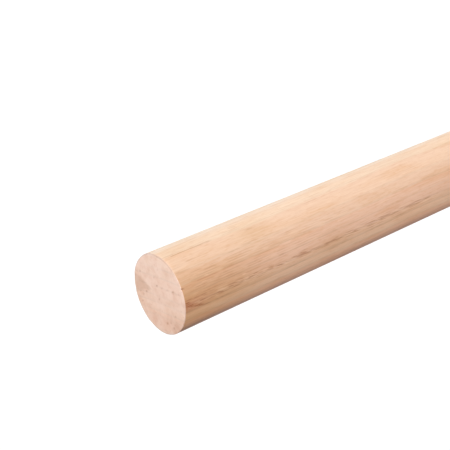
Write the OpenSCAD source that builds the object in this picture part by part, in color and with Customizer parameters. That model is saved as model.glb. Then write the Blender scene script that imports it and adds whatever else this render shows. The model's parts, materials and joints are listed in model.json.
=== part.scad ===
// Round wooden dowel rod: one piece of hardwood, turned to one diameter all along and sawn to length.
// Millimetres. The rod stands on its square end, with the origin in the middle of that end and +Z
// along the rod. The top end was sawn a little out of square, so it falls away towards one side.

/* [Rod] */
// Diameter of the turned rod
rod_d = 25.4; // [6:0.1:60]
// Length along the rod's axis, from the standing end to the middle of the top end
rod_len = 304.8; // [60:0.1:1200]

/* [Sawn ends] */
// How far the top end's saw cut is out of square, in degrees
cut_angle = 1.4; // [0:0.1:6]
// Direction towards which the top end falls away, in degrees from +X
cut_heading = 0; // [-180:1:180]
// Width of the arris that light sanding breaks off each end's edge
arris = 0.2; // [0.05:0.05:0.6]

/* [Torn fibres] */
// Place of the torn fibres around the top end's edge, in degrees from +X
tear_heading = -96; // [-180:1:180]
// Width of the tear across the edge, where the saw left the wood
tear_w = 0.8; // [0.8:0.1:2]
// Depth of the tear below the turned surface, at the edge: at most half its width
tear_depth = 0.35; // [0.1:0.05:0.4]
// Length of the tear along the grain, from the edge to where it runs out
tear_len = 1.4; // [1:0.1:10]

/* [Hidden] */

rod_r = rod_d / 2;
end_drop = rod_r * tan(cut_angle);      // how far the cut reaches above and below the axis's own length
spare = rod_r;                          // blank that the saw takes off beyond the cut
tear_r = (pow(tear_w / 2, 2) + pow(tear_depth, 2)) / (2 * tear_depth);  // arc through width and depth
tear_edge_z = rod_len - end_drop * cos(tear_heading - cut_heading);     // height of the edge at the tear
$fn = 128;

// The turned blank, with a square lower end whose edge is broken and a long upper end still to be sawn.
module turned_blank() {
    rotate_extrude()
        polygon([
            [0, 0],
            [rod_r - arris, 0],
            [rod_r, arris],
            [rod_r, rod_len + end_drop + spare],
            [0, rod_len + end_drop + spare]
        ]);
}

// All that the saw and the sanding block take off the top end: its flat underside is the sawn face,
// and its skirt slopes down at 45 degrees round the edge, which leaves the arris.
module top_waste() {
    reach = rod_r + spare;
    translate([0, 0, rod_len])
        rotate([0, cut_angle, cut_heading])
            rotate_extrude()
                polygon([
                    [0, 0],
                    [rod_r - arris, 0],
                    [reach, rod_r - arris - reach],
                    [reach, 2 * (end_drop + spare)],
                    [0, 2 * (end_drop + spare)]
                ]);
}

// Fibres that the saw tore out as it broke through the edge: a round gouge lying along the grain,
// deepest at the sawn face and rising to nothing in the turned surface.
module torn_fibres() {
    lean = atan(tear_depth / tear_len);
    gouge_len = 2 * tear_len / cos(lean);
    rotate([0, 0, tear_heading])
        translate([rod_r - tear_depth + tear_r, 0, tear_edge_z])
            rotate([0, -lean, 0])
                cylinder(h = gouge_len, r = tear_r, center = true);
}

module rod() {
    color("#e6c3a1")
        difference() {
            turned_blank();
            top_waste();
            torn_fibres();
        }
}

rod();
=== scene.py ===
import json
import math
import random

import bmesh
import bpy
from mathutils import Matrix, Vector, noise


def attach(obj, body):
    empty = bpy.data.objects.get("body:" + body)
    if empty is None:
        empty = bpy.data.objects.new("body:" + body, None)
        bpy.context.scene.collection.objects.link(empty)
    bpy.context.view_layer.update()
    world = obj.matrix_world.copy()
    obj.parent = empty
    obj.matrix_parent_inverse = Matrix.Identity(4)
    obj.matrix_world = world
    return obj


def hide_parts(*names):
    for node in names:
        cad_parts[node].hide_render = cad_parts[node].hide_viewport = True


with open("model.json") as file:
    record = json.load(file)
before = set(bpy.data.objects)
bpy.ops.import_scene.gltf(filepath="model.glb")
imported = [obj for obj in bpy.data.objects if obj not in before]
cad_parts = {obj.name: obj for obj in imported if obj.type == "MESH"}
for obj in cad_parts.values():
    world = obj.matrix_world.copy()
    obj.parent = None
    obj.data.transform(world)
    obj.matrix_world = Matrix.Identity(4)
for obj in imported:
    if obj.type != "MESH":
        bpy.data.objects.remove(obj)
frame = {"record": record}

scene = bpy.context.scene
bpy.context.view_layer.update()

# The rod: one length of pale, open-pored hardwood, turned to a true round and left bare.
# A saw cut both ends square, but it ran a little askew at the top, wavered along the edge and
# tore a few fibres out of the front.
MM = 0.001

# Sizes and the lean of the top cut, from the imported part's mounts.
mounts = {mount["name"]: mount for mount in frame["record"]["mounts"]}
rod_r = mounts["rod_outside"]["dims"]["r_mm"] * MM
rod_len = mounts["top_end"]["pos_m"][2]
cut_axis = Vector(mounts["top_end"]["axis"])
cut_slope = cut_axis.x / cut_axis.z

# Growth rings as they cross the rod: their widths in millimetres and the tone of each, from the
# bark side inwards. The tree's heart is far outside the rod, on the bearing below. The 4.4 mm ring
# is darker partly in its own tone and partly as painted shade where it crosses the rod's shaded
# side.
rings = [
    (0.8, "#f5d8be"), (3.6, "#eecbb0"), (3.0, "#eac5aa"), (3.1, "#eac0a5"), (3.0, "#ebc0a5"),
    (2.3, "#eabfa0"), (2.7, "#f5caaa"), (1.6, "#f5c2a0"), (4.4, "#e6b090"), (2.6, "#ebc0a5"),
]
heart_bearing = math.radians(154.5)
heart_distance = 250 * MM


def growth(x, y, z):
    """How far out from the tree's heart a point grew, in millimetres from the rod's axis."""
    # Straight grain still wavers by a few tenths of a millimetre along the rod.
    drift_x = 0.22 * math.sin(z / MM / 19 + 0.6) + 0.10 * math.sin(z / MM / 7.3 + 2.0)
    drift_y = 0.22 * math.sin(z / MM / 23 + 4.0)
    from_heart_x = x / MM + drift_x - heart_distance / MM * math.cos(heart_bearing)
    from_heart_y = y / MM + drift_y - heart_distance / MM * math.sin(heart_bearing)
    return math.hypot(from_heart_x, from_heart_y) - heart_distance / MM


# Where each ring starts, with the first ring nearest the heart.
ring_starts = []
reach = rod_r / MM
for width, _ in rings:
    reach -= width
    ring_starts.insert(0, reach)


def into_ring(out):
    """How far into its own year's ring a point lies, in millimetres."""
    started = [start for start in ring_starts if start <= out]
    return out - started[-1] if started else 1.0


# Strokes of the grain on the side: (bearing, depth below the top, length, half width, strength).
# A strength above 0 is a pore that the turning cut open, and one below 0 is a pale raised fibre.
# Pores crowd into the first wood of each ring, and few lie between. All are drawn 0.2 to 0.36 mm
# across, wider than real ones, because finer ones would not show.
pores = 1300
raised_fibres = 900
pore_band = 0.45
stray_pores = 0.12
lengthening = 0.04
rng = random.Random(11)
strokes = []


def fading(below):
    """How much strength a stroke keeps: all of it at the top, and 0.3 of it from 200 mm down."""
    return 1 - 3.5 * min(max(below, 0), 200 * MM)


while len(strokes) < pores:
    bearing = rng.uniform(-math.pi, math.pi)
    below = rng.uniform(-4 * MM, rod_len)
    out = growth(rod_r * math.cos(bearing), rod_r * math.sin(bearing), rod_len - below)
    crowding = math.exp(-((into_ring(out) / pore_band) ** 2)) + stray_pores
    if rng.random() < crowding:
        length = rng.uniform(1.5, 8.0) * MM + lengthening * max(below, 0)
        half = rng.uniform(0.11, 0.18) * MM
        strength = rng.uniform(0.04, 0.25) * fading(below)
        strokes.append((bearing, below, length, half, strength))
for _ in range(raised_fibres):
    bearing = rng.uniform(-math.pi, math.pi)
    below = rng.uniform(-2 * MM, rod_len)
    length = rng.uniform(1.0, 5.0) * MM + lengthening * max(below, 0)
    half = rng.uniform(0.11, 0.17) * MM
    strength = -rng.uniform(0.1, 0.45) * fading(below)
    strokes.append((bearing, below, length, half, strength))

# The plainest streaks and flecks below the top of the front: their bearing in degrees, then their
# depth below the top, length and width in millimetres, and their strength. Each is a bundle of
# short strokes.
flecks = [
    (-46.5, 1.5, 8, 0.1, 1.0), (-46.5, 9, 10, 0.2, 0.7), (-46.2, 22, 9, 0.4, 0.25),
    (-39, 26, 4, 0.3, 0.4), (-54.5, 30, 3.5, 0.6, 0.4), (-63.5, 5, 8, 0.3, 0.35),
    (-75.5, 19, 3.5, 0.3, 0.4), (-74.5, 26, 4, 0.3, 0.4), (-112.5, 0.1, 3.5, 0.1, 1.0),
    (-113.2, 3, 9, 0.15, 0.75), (-115.5, 21, 12, 0.2, 0.6), (-116.0, 0.1, 1.8, 0.2, 0.9),
    (-118.3, 0.2, 2.2, 0.1, 0.7), (-120.8, 0.1, 3.2, 0.2, 1.0), (-123.0, 0.8, 3.5, 0.2, 0.9),
    (-125.0, 3.0, 3.6, 0.2, 1.0), (-126.6, 4.2, 3.0, 0.3, 1.0), (-128.3, 5, 5, 0.2, 0.8),
    (-128.6, 10.5, 8, 0.2, 0.6), (-120.6, 10.5, 5, 0.2, 0.7), (-121.8, 13.5, 4, 0.2, 0.6),
    (-116.3, 16.0, 4, 0.2, 0.8), (-117.6, 18.5, 2.5, 0.1, 0.6), (-121.9, 17.3, 3.6, 0.15, 0.8),
    (-122.0, 28, 3.5, 0.2, 0.6), (-117.5, 31, 4, 0.2, 0.4), (-117.5, 34, 14, 0.2, 0.3),
    (-120.3, 35.3, 4.2, 0.2, 1.0), (-121.4, 36.5, 2.0, 0.1, 0.7), (-119.5, 44, 3, 0.15, 0.8),
    (-121.0, 46, 3.5, 0.15, 0.8), (-106.5, 37, 2.5, 0.3, 0.5), (-131.0, 39, 11, 0.5, 0.4),
    (-121.5, 51, 5, 0.4, 0.35), (-120.0, 56, 7, 0.25, 0.9), (-132.0, 55, 8, 0.4, 0.5),
    (-119.5, 68.3, 3, 0.25, 0.9), (-120.5, 74.5, 3, 0.2, 0.6), (-117.0, 77, 3.5, 0.25, 0.7),
    (-118.2, 81, 6, 0.4, 0.7), (-129.5, 77, 8, 0.4, 0.5), (-126.5, 91, 4, 0.4, 0.5),
    (-118.5, 94.5, 4.5, 0.3, 0.9), (-84.5, 5, 4, 0.4, -0.7), (-91.5, 8, 10, 0.3, -0.6),
    (-117.8, 10.5, 8, 0.2, -1.0), (-115.8, 1.5, 6, 0.1, -0.6), (-119.6, 3, 3, 0.1, -0.7),
    (-122.0, 4.5, 5, 0.15, -0.7), (-124.0, 0.8, 1.8, 0.1, -0.7), (-114.3, 12, 5, 0.2, -0.6),
    (-116.6, 20.5, 12, 0.2, -0.7), (-120.5, 21, 9, 0.2, -0.9), (-111.0, 21.5, 2.5, 0.2, -0.9),
    (-122.5, 38.8, 1.8, 0.3, -1.0), (-95.5, 40, 10, 0.6, -0.5), (-84.5, 43.5, 4, 0.6, -0.6),
    (-118.3, 44.5, 4, 0.2, -0.8), (-122.2, 46, 3, 0.1, -0.7), (-91.0, 55, 4, 0.5, -0.6),
    (-105.5, 50, 6, 0.4, -0.6), (-95.5, 63, 5, 0.4, -0.5), (-97.0, 80, 8, 0.4, -0.4),
    (-114.0, 80, 5, 0.4, -0.5), (-114.5, 94.5, 4, 0.4, -0.6), (-122.6, 6, 16, 0.15, 0.45),
    (-119.2, 20, 18, 0.15, 0.45), (-119.9, 38, 20, 0.15, 0.45),
]
for bearing, below, length, width, strength in flecks:
    strands = 4 + round(1.4 * length)
    for _ in range(strands):
        at = math.radians(bearing) + rng.uniform(-0.6, 0.6) * width * MM / rod_r
        reach = min(length, rng.uniform(1.0, 3.2))
        start = below + rng.uniform(0, length - reach)
        half = rng.uniform(0.10, 0.14) * MM
        strokes.append((at, start * MM, reach * MM, half, strength * rng.uniform(0.25, 0.8)))

# Smaller flecks and raised fibres that follow one ring's edge down the front, two flecks to each
# fibre.
small_flecks = 260
band_bearing = -119.3
band_scatter = 2.3
for _ in range(small_flecks):
    bearing = math.radians(rng.gauss(band_bearing, band_scatter))
    below = rng.uniform(4, 105) * MM
    length = rng.uniform(1.2, 2.8) * MM + 0.02 * below
    strength = rng.choice((1, 1, -1)) * rng.uniform(0.2, 0.7)
    half = rng.uniform(0.11, 0.15) * MM
    strokes.append((bearing, below, length, half, strength))

# Fine lines of pores that run side by side below the top, 0.73 mm apart, and fade on the way down.
fine_lines = 10
first_line = math.radians(-80.5)
line_pitch = 0.73 * MM / rod_r
line_reach = 66 * MM
line_half = 0.17 * MM
for line in range(fine_lines):
    bearing = first_line - line * line_pitch
    below = rng.uniform(3, 7) * MM
    while below < line_reach:
        length = rng.uniform(4, 14) * MM
        strength = rng.uniform(0.17, 0.4) * (1 - 0.6 * below / line_reach)
        at = bearing + rng.uniform(-0.004, 0.004)
        strokes.append((at, below, length, line_half, strength))
        below += length + rng.uniform(0.3, 2.0) * MM

# The side is a mesh of columns, and each stroke is filed under the columns that it can reach.
columns = 480
stroke_reach = 2
by_column = [[] for _ in range(columns)]
for stroke in strokes:
    middle = round(stroke[0] / math.tau * columns)
    for column in range(middle - stroke_reach, middle + stroke_reach + 1):
        by_column[column % columns].append(stroke)


def grain_stroke(bearing, below):
    """The strongest stroke at a point of the side: up to 1 in a pore, down to -1 on a fibre."""
    most = 0.0
    for at, top, length, half, strength in by_column[round(bearing / math.tau * columns) % columns]:
        along = (below - top) / length
        if 0 < along < 1:
            turn = (bearing - at + math.pi) % math.tau - math.pi
            across = abs(turn) * rod_r / half
            if across < 1:
                tapered = min(1, 4 * along, 4 * (1 - along))
                here = strength * (1 - across * across) * tapered
                most = here if abs(here) > abs(most) else most
    return most


def patch(bearing, at, half_turn, below=0, depth=0, half_length=1):
    """A soft patch of the side: 1 in its middle and 0 far off; turns in degrees, lengths in m."""
    turn = (math.degrees(bearing) - at + 180) % 360 - 180
    return math.exp(-((turn / half_turn) ** 2) - ((below - depth) / half_length) ** 2)


def around(bearing, middle, full, none):
    """1 up to so many degrees from a middle bearing, falling softly to 0 further round."""
    off = abs((math.degrees(bearing) - middle + 180) % 360 - 180)
    part = min(1.0, max(0.0, (none - off) / (none - full)))
    return part * part * (3 - 2 * part)


def tanning(bearing, below):
    """How much the wood has tanned: most at the front, over the first 25 mm below the cut."""
    strongest = 0.72 + 0.28 * math.exp(-below / (9 * MM))
    near_cut = strongest / (1 + math.exp((below - 27 * MM) / (4.5 * MM)))
    front = 0.12 + 0.65 * around(bearing, -126, 22, 52)
    front += 0.3 * patch(bearing, -114, 11)
    front -= 0.16 * patch(bearing, -145, 9)
    spots = 0.4 * patch(bearing, -62, 18, below, 32 * MM, 7 * MM)
    spots += 0.35 * patch(bearing, -121, 16, below, 61 * MM, 8 * MM)
    spots += 0.12 * patch(bearing, -160, 12, below, 56 * MM, 12 * MM)
    return near_cut * front + spots


def reddening(bearing, below):
    """How much redder the wood is: a small patch at the front edge."""
    return patch(bearing, -121, 8, below, 0, 8 * MM)


def painted_side_shade(bearing, below):
    """How much painted shade greys the wood: a faint grey band runs the length of the rod along its
    shaded side.
    """
    drift = 1.5 * math.sin(below / MM / 13 + 1.0) + 1.0 * math.sin(below / MM / 5.1)
    strength = 0.65 + 0.35 * math.exp(-below / (30 * MM))
    return around(bearing, -172.5 + drift, 6, 18) * strength


def painted_sheen(bearing, below):
    """How much painted sheen lightens the wood: a paler strip along the side that the right lamp
    lights runs the length of the rod, strongest near the cut.
    """
    strength = 0.34 + 0.3 * math.exp(-below / (25 * MM))
    return around(bearing, -12, 6, 20) * strength


def frayed(bearing, from_edge):
    """How frayed the edge of the cut is: at the front right the saw left its fibres loose."""
    return around(bearing, -48, 14, 34) * max(0.0, 1 - from_edge / 0.6)


def painted_rim_shade(bearing, from_rim):
    """How much painted shade greys the rim of the sawn face, all round the back."""
    return around(bearing, 75, 85, 110) * max(0.0, 1 - from_rim / 0.4)


def stained(x, y):
    """How grey the sawn face is: a wedge of stain opens to the rim, with a faint cloud apart."""
    wedge_bearing, half_angle, soft_edge = 58, 20.5, 0.9
    off_x, off_y = x / MM - 2.0, y / MM - 2.5
    turn = abs((math.degrees(math.atan2(off_y, off_x)) - wedge_bearing + 180) % 360 - 180)
    inside = math.hypot(off_x, off_y) * math.sin(math.radians(max(half_angle - turn, -90)))
    ragged = 0.7 * noise.noise(Vector((x, y, 0)) / (2 * MM))
    wedge = min(1.0, max(0.0, 0.4 + inside / soft_edge + ragged))
    cloud = 0.45 * math.exp(-((x / MM + 8.8) ** 2 + (y / MM + 3.8) ** 2) / 20)
    return max(wedge, cloud)


# The plainest pores of the sawn face: where each lies, in millimetres, and its strength.
end_pores = [
    (2.6, -0.7, 0.9), (-1.0, -7.8, 0.7), (2.4, 6.1, 0.8), (3.3, 9.4, 0.5), (0.3, 10.3, 0.5),
    (8.7, 5.2, 0.6), (-1.3, 0.9, 0.5), (5.2, -0.9, 0.4), (-7.9, -4.0, 0.5), (-8.9, 1.7, 0.8),
    (-10.9, -0.8, 0.8), (-9.1, -0.3, 0.4), (2.0, 8.3, 0.4), (1.3, -2.9, 0.3), (0.1, -5.2, 0.4),
    (6.8, -4.4, 0.3), (-4.6, 5.8, 0.3),
]


def end_pore(x, y):
    """How open the sawn face is at a point: 1 in the middle of a strong pore."""
    # Squares of the half widths at which a pore has faded to a third, in square millimetres.
    spread_x, spread_y = 0.07, 0.2
    return max(
        strength * math.exp(-((x / MM - at_x) ** 2) / spread_x - ((y / MM - at_y) ** 2) / spread_y)
        for at_x, at_y, strength in end_pores
    )


# The blank: a turned round with its rows close together by the cut, each step down to a depth.
row_steps = [
    (0.25 * MM, 1.5 * MM),
    (0.5 * MM, 8 * MM),
    (1.0 * MM, 40 * MM),
    (1.6 * MM, 130 * MM),
    (4.0 * MM, rod_len),
]
lowest_row = 1.5 * MM
top_face_step = 0.32 * MM
foot_face_step = 1.6 * MM
arris = 0.2 * MM


def ring_of(grown):
    """The new ring of edges from an extrusion's result."""
    return [edge for edge in grown if isinstance(edge, bmesh.types.BMEdge)]


blank = bmesh.new()
bmesh.ops.create_circle(blank, cap_ends=False, segments=columns, radius=rod_r)
foot_ring = blank.edges[:]
depths = [0.0]
for step, until in row_steps:
    while depths[-1] + step < until:
        depths.append(depths[-1] + step)
heights = [rod_len - depth for depth in reversed(depths) if rod_len - depth > lowest_row]
ring = foot_ring
level = 0.0
for height in heights:
    grown = bmesh.ops.extrude_edge_only(blank, edges=ring)["geom"]
    ring = ring_of(grown)
    verts = list({vert for edge in ring for vert in edge.verts})
    bmesh.ops.translate(blank, verts=verts, vec=(0, 0, height - level))
    level = height
rims = [foot_ring, ring]


def face_over(ring, step):
    """Closes an end with rings of faces that step inwards, and returns those faces."""
    made = []
    radius = rod_r
    innermost = 1.5 * step
    while radius > innermost:
        grown = bmesh.ops.extrude_edge_only(blank, edges=ring)["geom"]
        made += [face for face in grown if isinstance(face, bmesh.types.BMFace)]
        ring = ring_of(grown)
        verts = list({vert for edge in ring for vert in edge.verts})
        shrink = (radius - step) / radius
        bmesh.ops.scale(blank, verts=verts, vec=(shrink, shrink, 1))
        radius -= step
    middle = bmesh.ops.contextual_create(blank, geom=ring)["faces"]
    made += bmesh.ops.poke(blank, faces=middle)["faces"]
    return made


end_faces = face_over(rims[1], top_face_step) + face_over(rims[0], foot_face_step)
for face in blank.faces:
    face.smooth = True
for face in end_faces:
    face.material_index = 1
broken_edges = bmesh.ops.bevel(
    blank,
    geom=rims[0] + rims[1],
    offset=arris,
    offset_type="OFFSET",
    segments=2,
    profile=0.5,
    affect="EDGES",
    material=-1,
    clamp_overlap=True,
)
for face in broken_edges["faces"]:
    face.material_index = 1
bmesh.ops.recalc_face_normals(blank, faces=blank.faces[:])

# A few fibres tore out of the front edge as the saw broke through: a round gouge along the grain,
# with the same size and place as in the solid.
tear_bearing = math.radians(-96)
tear_width = 0.8 * MM
tear_depth = 0.35 * MM
tear_len = 1.4 * MM
tear_r = ((tear_width / 2) ** 2 + tear_depth ** 2) / (2 * tear_depth)


def torn_depth(bearing, below):
    """How deep the tear is at a point of the side."""
    across = ((bearing - tear_bearing + math.pi) % math.tau - math.pi) * rod_r
    if abs(across) >= tear_r:
        return 0.0
    deepest = tear_depth * (1 - below / tear_len)
    return max(0.0, deepest - tear_r + math.sqrt(tear_r ** 2 - across ** 2))


# The edge of the cut wavers where the saw left some fibres longer than others, and it is rubbed
# round at the front right.
waver_reach = 0.9 * MM
deepest_waver = 0.12


def waver(bearing, distance):
    """How far the edge of the cut is worn back, fading out over a short distance from the edge."""
    if distance > waver_reach:
        return 0.0
    way = Vector((math.cos(bearing), math.sin(bearing), 0))
    broad = 0.8 * noise.noise(2.5 * way)
    fine = 0.7 * noise.noise(7 * way + Vector((0, 0, 5)))
    rough = min(1.0, max(0.0, 0.3 + broad + fine))
    rubbed = 0.15 * around(bearing, -50, 12, 28) + 0.10 * around(bearing, -90, 2, 5)
    return (deepest_waver * rough + rubbed) * MM * (1 - distance / waver_reach)


# Relief: pores and the tear sink into the side, and the top leans over to meet the saw cut. Both
# fall off steeply, the first towards the axis and the second down the rod. The marks that the
# materials show are kept as the mesh's own attributes.
pore_depth = 0.05 * MM
# How far in from the rim of the sawn face, in millimetres, the painted shade of the shaded side
# reaches.
side_shade_depth = 2.5
falloff = 8
grain = {
    "growth": [], "strokes": [], "torn": [], "tan": [], "red": [], "streak": [], "pale": [],
    "frayed": [], "stain": [], "end_pores": [], "rim": [],
}
for vert in blank.verts:
    x, y, z = vert.co
    bearing = math.atan2(y, x)
    radius = math.hypot(x, y)
    below = rod_len - z
    on_side = radius > 0.99 * rod_r
    on_top = below < 0.5 * arris
    by_rim = below < 2 * arris
    from_rim = (rod_r - radius) / MM
    edge_gap = abs(below) + rod_r - radius
    stroke = grain_stroke(bearing, below) if on_side else 0.0
    torn = torn_depth(bearing, max(below, 0)) if below < tear_len else 0.0
    worn = waver(bearing, edge_gap) if below < waver_reach else 0.0
    into_wood = math.exp(-((from_rim / side_shade_depth) ** 2))
    grain["growth"].append(growth(x, y, z))
    grain["strokes"].append(stroke)
    # The tear's depth also sets its tint: the torn fibres' own brown, and painted shade deepest at
    # its bottom.
    grain["torn"].append(torn / tear_depth)
    grain["tan"].append(tanning(bearing, below))
    grain["red"].append(reddening(bearing, below))
    # Painted shade along the rod's shaded side, which fades in from the rim on the sawn face.
    grain["streak"].append(painted_side_shade(bearing, below) * into_wood)
    # Painted sheen along the side that the right lamp lights.
    grain["pale"].append(painted_sheen(bearing, below))
    grain["frayed"].append(frayed(bearing, edge_gap / MM))
    grain["stain"].append(stained(x, y) if on_top else 0.0)
    grain["end_pores"].append(end_pore(x, y) if on_top else 0.0)
    # Painted shade on the rim of the sawn face round the back.
    grain["rim"].append(painted_rim_shade(bearing, from_rim) if by_rim else 0.0)
    sink = pore_depth * max(0.0, stroke) + worn + torn
    if sink:
        kept = 1 - sink / rod_r * (radius / rod_r) ** falloff
        vert.co.x *= kept
        vert.co.y *= kept
    vert.co.z -= cut_slope * x * (z / rod_len) ** falloff + 0.6 * worn

rod_mesh = bpy.data.meshes.new("dowel_rod")
blank.to_mesh(rod_mesh)
blank.free()
for name, values in grain.items():
    attribute = rod_mesh.attributes.new(name, "FLOAT", "POINT")
    attribute.data.foreach_set("value", values)
dowel = bpy.data.objects.new("dowel_rod", rod_mesh)
scene.collection.objects.link(dowel)
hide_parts("rod")
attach(dowel, "root")


def linear(hex_colour):
    """An sRGB hex colour as the linear colour that the shader takes."""
    channels = [int(hex_colour[i:i + 2], 16) / 255 for i in (1, 3, 5)]
    return [c / 12.92 if c <= 0.04045 else ((c + 0.055) / 1.055) ** 2.4 for c in channels] + [1]


def add_node(material, kind, inputs=None, **settings):
    """Adds a node. An input takes a value, or the node or output that it is linked to."""
    tree = material.node_tree
    node = tree.nodes.new("ShaderNode" + kind)
    for name, value in settings.items():
        setattr(node, name, value)
    for name, value in (inputs or {}).items():
        named = [socket for socket in node.inputs if socket.name == name and socket.enabled]
        target = node.inputs[name] if isinstance(name, int) else named[0]
        if isinstance(value, bpy.types.Node):
            value = next(socket for socket in value.outputs if socket.enabled)
        if isinstance(value, bpy.types.NodeSocket):
            tree.links.new(value, target)
        else:
            target.default_value = value
    return node


def ring_tones(material, early_tone):
    """The colour of the growth rings; the first wood of each year is a shade darker."""
    out = add_node(material, "Attribute", attribute_name="growth").outputs["Fac"]
    edge = rod_r / MM + 2
    place = add_node(material, "MapRange", {"Value": out, "From Min": -edge, "From Max": edge})
    ramp = add_node(material, "ValToRGB", {"Fac": place})
    stops = ramp.color_ramp.elements
    stops[0].position = 0
    stops[0].color = linear(rings[-1][1])
    stops[1].position = 1
    stops[1].color = linear(rings[0][1])
    # A ring is darkest 0.1 mm in, and plain from 0.7 mm in to 0.2 mm before the next ring.
    darkest, plain, before_next = 0.1, 0.7, 0.2
    for start, (width, tone) in zip(ring_starts, reversed(rings)):
        shades = ((darkest, early_tone), (plain, 1.0), (width - before_next, 1.0))
        for offset, shade in shades:
            if -edge < start + offset < edge:
                stop = stops.new((start + offset + edge) / (2 * edge))
                stop.color = [channel * shade for channel in linear(tone)[:3]] + [1]
    return ramp


def streaks(material, across, along, detail):
    """Noise drawn out along the grain: its features are this wide and this long, in metres."""
    place = add_node(material, "TexCoord").outputs["Object"]
    scale = (1 / across, 1 / across, 1 / along)
    drawn = add_node(material, "Mapping", {"Vector": place, "Scale": scale})
    return add_node(material, "TexNoise", {"Vector": drawn, "Scale": 1.0, "Detail": detail})


# Turned hardwood, bare: pale pinkish tan with straight grain, silky rather than shiny. Tan, a band
# of painted shade and a strip of painted sheen lie over the rings, then clouds, fine fibres and
# specks, then the pores and raised fibres, and last the frayed edge and the torn fibres, darkened
# in part by painted shade.
wood = bpy.data.materials.new("turned_hardwood")
wood.use_nodes = True
shader = wood.node_tree.nodes["Principled BSDF"]

# How much of each layer shows where: from the mesh's own marks, or from noise and the like
# between two levels.
amounts = {}
for name in ("tan", "red", "streak", "pale", "strokes", "frayed", "torn"):
    amounts[name] = add_node(wood, "Attribute", attribute_name=name).outputs["Fac"]
veils = {
    "clouds": (streaks(wood, 3.5 * MM, 22 * MM, 3.0), 0.48, 0.68),
    "fibres": (streaks(wood, 0.3 * MM, 9 * MM, 2.0), 0.4, 0.75),
    "specks": (streaks(wood, 0.5 * MM, 2.5 * MM, 1.0), 0.5, 0.75),
}
for name, (veil, low, high) in veils.items():
    veil_range = {"Value": veil, "From Min": low, "From Max": high}
    amounts[name] = add_node(wood, "MapRange", veil_range)
fibre_range = {"Value": amounts["strokes"], "From Max": -1.0, "To Max": 0.5}
amounts["raised"] = add_node(wood, "MapRange", fibre_range)

# The layers from the bottom up: MULTIPLY lies on the wood like a glaze, and MIX like a paint.
layers = [
    ("tan", "#e6d9bc", "MULTIPLY"),
    ("red", "#f0dadd", "MULTIPLY"),
    # Painted shade along the rod's shaded side.
    ("streak", "#babdc3", "MULTIPLY"),
    # Painted sheen along the side that the right lamp lights.
    ("pale", "#fff2e6", "MIX"),
    ("clouds", "#faf3ea", "MULTIPLY"),
    ("fibres", "#f8f2ec", "MULTIPLY"),
    ("specks", "#faf4ee", "MULTIPLY"),
    ("raised", "#ffdcb6", "MIX"),
    ("strokes", "#b98a5e", "MULTIPLY"),
    ("frayed", "#e2c4b2", "MIX"),
    # The torn fibres' own brown, with painted shade in the gouge.
    ("torn", "#a58c78", "MULTIPLY"),
]
colour = ring_tones(wood, 0.95)
for name, tint, blend in layers:
    layer = {"Factor": amounts[name], "A": colour, "B": linear(tint)}
    colour = add_node(wood, "Mix", layer, data_type="RGBA", blend_type=blend)
wood.node_tree.links.new(colour.outputs[2], shader.inputs["Base Color"])
shader.inputs["Roughness"].default_value = 0.65
shader.inputs["Specular IOR Level"].default_value = 0.3
fibre_relief = {"Height": veils["fibres"][0], "Strength": 0.15, "Distance": 0.1 * MM}
bump = add_node(wood, "Bump", fibre_relief)
wood.node_tree.links.new(bump.outputs[0], shader.inputs["Normal"])
rod_mesh.materials.append(wood)

# Sawn end grain: the cut-off tubes of the wood drink the light, so it is duller and pinker, with
# ring lines across it and the pores as dots. It is paler in streaks and grey in places, and painted
# light makes it lighter towards the front right and darker away from it. Painted shade greys its
# edge on the rod's shaded side and its rim round the back.
end_grain = bpy.data.materials.new("sawn_end_grain")
end_grain.use_nodes = True
shader = end_grain.node_tree.nodes["Principled BSDF"]

# How much of each layer shows where: from the mesh's own marks, or from noise and the like
# between two levels.
amounts = {}
for name in ("stain", "streak", "end_pores", "rim", "frayed"):
    amounts[name] = add_node(end_grain, "Attribute", attribute_name=name).outputs["Fac"]
dry = streaks(end_grain, 5 * MM, 28 * MM, 2.0)
dry_range = {"Value": dry, "From Min": 0.35, "From Max": 0.65, "To Min": 0.62, "To Max": 0.95}
amounts["dry"] = add_node(end_grain, "MapRange", dry_range)
place = add_node(end_grain, "TexCoord").outputs["Object"]
cell_scale = (1 / (2.5 * MM), 1 / (2.5 * MM), 1 / (20 * MM))
cells = add_node(end_grain, "Mapping", {"Vector": place, "Scale": cell_scale})
dots = add_node(end_grain, "TexVoronoi", {"Vector": cells, "Scale": 1.0})
# Painted light on the sawn face: lighter towards this bearing, the front right, and darker away
# from it.
lit_side = math.radians(-44)
towards_lit_side = {0: place, 1: (math.cos(lit_side), math.sin(lit_side), 0)}
towards_light = add_node(end_grain, "VectorMath", towards_lit_side, operation="DOT_PRODUCT")
veils = {
    "clouds": (streaks(end_grain, 3 * MM, 28 * MM, 3.0), 0.45, 0.7),
    "mottle": (streaks(end_grain, 0.9 * MM, 28 * MM, 2.0), 0.45, 0.75),
    "dots": (dots, 0.12, 0.05),
    "damp": (towards_light, rod_r, -rod_r),
}
for name, (veil, low, high) in veils.items():
    veil_range = {"Value": veil, "From Min": low, "From Max": high}
    amounts[name] = add_node(end_grain, "MapRange", veil_range)

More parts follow.
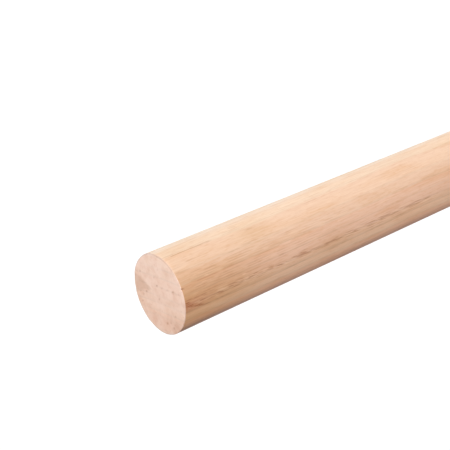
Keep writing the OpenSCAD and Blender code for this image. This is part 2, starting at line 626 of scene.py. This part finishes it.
# The layers from the bottom up: MULTIPLY lies on the wood like a glaze, and MIX like a paint.
layers = [
    ("dry", "#fbddcd", "MIX"),
    ("clouds", "#f7f0eb", "MULTIPLY"),
    ("mottle", "#fbf7f4", "MULTIPLY"),
    ("dots", "#f5ebe4", "MULTIPLY"),
    # Painted light: the sawn face darkens away from the front right.
    ("damp", "#f1ede9", "MULTIPLY"),
    ("stain", "#f0ebe6", "MULTIPLY"),
    # Painted shade at the edge of the sawn face on the rod's shaded side.
    ("streak", "#f2eae4", "MULTIPLY"),
    ("end_pores", "#d0b09c", "MULTIPLY"),
    # Painted shade on the rim round the back.
    ("rim", "#c9cbd6", "MULTIPLY"),
    ("frayed", "#d6ccc4", "MULTIPLY"),
]
colour = ring_tones(end_grain, 0.78)
for name, tint, blend in layers:
    layer = {"Factor": amounts[name], "A": colour, "B": linear(tint)}
    colour = add_node(end_grain, "Mix", layer, data_type="RGBA", blend_type=blend)
end_grain.node_tree.links.new(colour.outputs[2], shader.inputs["Base Color"])
shader.inputs["Roughness"].default_value = 0.85
rod_mesh.materials.append(end_grain)

# The stage: a plain white floor that keeps the rod's shadow, the same white all round, and three
# soft lamps far off: the strong key in front, a weaker one on the right and one behind.
floor_half = 4.0
floor_build = bmesh.new()
bmesh.ops.create_grid(floor_build, x_segments=8, y_segments=8, size=floor_half)
floor_mesh = bpy.data.meshes.new("studio_floor")
floor_build.to_mesh(floor_mesh)
floor_build.free()
floor = bpy.data.objects.new("studio_floor", floor_mesh)
scene.collection.objects.link(floor)


def seen_directly(material):
    """1 for a ray from the camera, or one off a mirror or through clear glass; otherwise 0."""
    path = add_node(material, "LightPath")
    seen = path.outputs["Is Camera Ray"]
    for name in ("Is Glossy Ray", "Is Transmission Ray"):
        seen = add_node(material, "Math", {0: seen, 1: path.outputs[name]}, operation="MAXIMUM")
    return seen


# White paper floor: matt, and lit a little from within for the camera so that it comes out white.
paper_glow = 0.62
paper = bpy.data.materials.new("white_paper_floor")
paper.use_nodes = True
paper.node_tree.nodes.clear()
matt = add_node(paper, "BsdfDiffuse", {"Color": linear("#bcbcbc")})
glow_level = add_node(paper, "Math", {0: seen_directly(paper), 1: paper_glow}, operation="MULTIPLY")
glow = add_node(paper, "Emission", {"Strength": glow_level})
both = add_node(paper, "AddShader", {0: matt, 1: glow})
add_node(paper, "OutputMaterial", {"Surface": both})
floor_mesh.materials.append(paper)

# The studio all round: plain white to the eye, and weaker as a light so that the rod keeps its
# shading.
sky_light = 0.29
studio = bpy.data.worlds.new("white_studio")
scene.world = studio
studio.use_nodes = True
background = studio.node_tree.nodes["Background"]
background.inputs["Color"].default_value = (1, 1, 1, 1)
sky_range = {"Value": seen_directly(studio), "To Min": sky_light, "To Max": 1.0}
sky_level = add_node(studio, "MapRange", sky_range)
studio.node_tree.links.new(sky_level.outputs[0], background.inputs["Strength"])


def far_lamp(name, bearing, rise, spread_angle, strength):
    """A soft lamp far off. Its bearing, its rise and how wide it looks are in degrees."""
    lamp = bpy.data.lights.new(name, "SUN")
    lamp.energy = strength
    lamp.angle = math.radians(spread_angle)
    turn, lift = math.radians(bearing), math.radians(rise)
    level = math.cos(lift)
    away = Vector((math.cos(turn) * level, math.sin(turn) * level, math.sin(lift)))
    holder = bpy.data.objects.new(name, lamp)
    holder.location = away
    holder.rotation_euler = away.to_track_quat("Z", "Y").to_euler()
    scene.collection.objects.link(holder)


far_lamp("key_lamp", -72, 34, 50, 2.45)
far_lamp("right_lamp", 0, 25, 50, 0.85)
far_lamp("back_lamp", 98, 12, 50, 1.1)

# The camera: it looks down past the top end, turned on its side, so that the rod runs away to
# the upper right of the picture. Its angles are in degrees.
camera_out = 21.22 * rod_r
camera_above_end = 12.238 * rod_r
look_bearing = 87.51
look_down = 34.743
roll = 112.016
picture_px = 450
focal_px = 1050

lens = bpy.data.cameras.new("camera")
lens.sensor_width = 36
lens.lens = lens.sensor_width * focal_px / picture_px
camera = bpy.data.objects.new("camera", lens)
camera.location = (0, -camera_out, rod_len + camera_above_end)
turn = (
    Matrix.Rotation(math.radians(look_bearing - 90), 4, "Z")
    @ Matrix.Rotation(math.radians(90 - look_down), 4, "X")
    @ Matrix.Rotation(math.radians(-roll), 4, "Z")
)
camera.rotation_euler = turn.to_euler()
lens.clip_start = 10 * MM
scene.collection.objects.link(camera)
scene.camera = camera
scene.view_settings.view_transform = "Standard"
